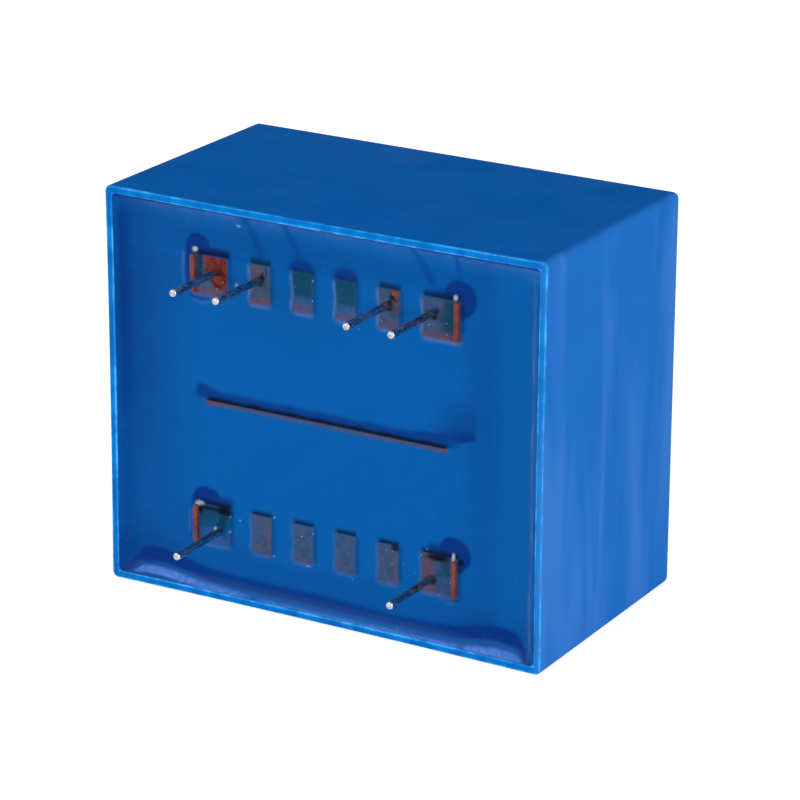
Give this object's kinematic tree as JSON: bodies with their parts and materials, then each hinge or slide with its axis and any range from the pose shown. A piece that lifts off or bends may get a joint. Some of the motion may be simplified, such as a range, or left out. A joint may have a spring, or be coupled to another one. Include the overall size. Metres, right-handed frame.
{
  "type": "pcb transformer",
  "caption": "Resin-cast mains transformer in a moulded rectangular case, with straight round pins standing out of its resin-filled mouth for soldering into a circuit board.",
  "frame": {"origin": "centre of the grid of corner pins, in the plane of the case's mouth, which seats on the circuit board", "axes": "+X along the rows of pins, -Y out of the mouth along the pins, +Z across the rows, from the primary pins to the secondary pins"},
  "size_m": [0.051, 0.0361, 0.0428],
  "materials": {
    "case": "blue moulded plastic, satin gloss",
    "resin": "blue casting resin, smooth and glossy",
    "former": "brick-red moulded plastic",
    "laminations": "bare silicon steel sheet",
    "copper": "enamelled copper wire",
    "tape": "polyester tape",
    "pins": "tinned wire, bright",
    "solder": "solder, dull bright"
  },
  "bodies": {
    "root": {"case": "case", "potting_resin": "resin", "bobbin": "former", "e_laminations": "laminations", "i_laminations": "laminations", "primary_winding": "copper", "primary_tape": "tape", "secondary_winding_1": "copper", "interlayer_tape": "tape", "secondary_winding_2": "copper", "secondary_tape": "tape", "primary_pin_1": "pins", "primary_pin_2": "pins", "secondary_pin_1": "pins", "secondary_pin_2": "pins", "secondary_pin_3": "pins", "secondary_pin_4": "pins", "primary_solder_1": "solder", "primary_solder_2": "solder", "secondary_solder_1": "solder", "secondary_solder_2": "solder", "secondary_solder_3": "solder", "secondary_solder_4": "solder"}
  },
  "joints": []
}
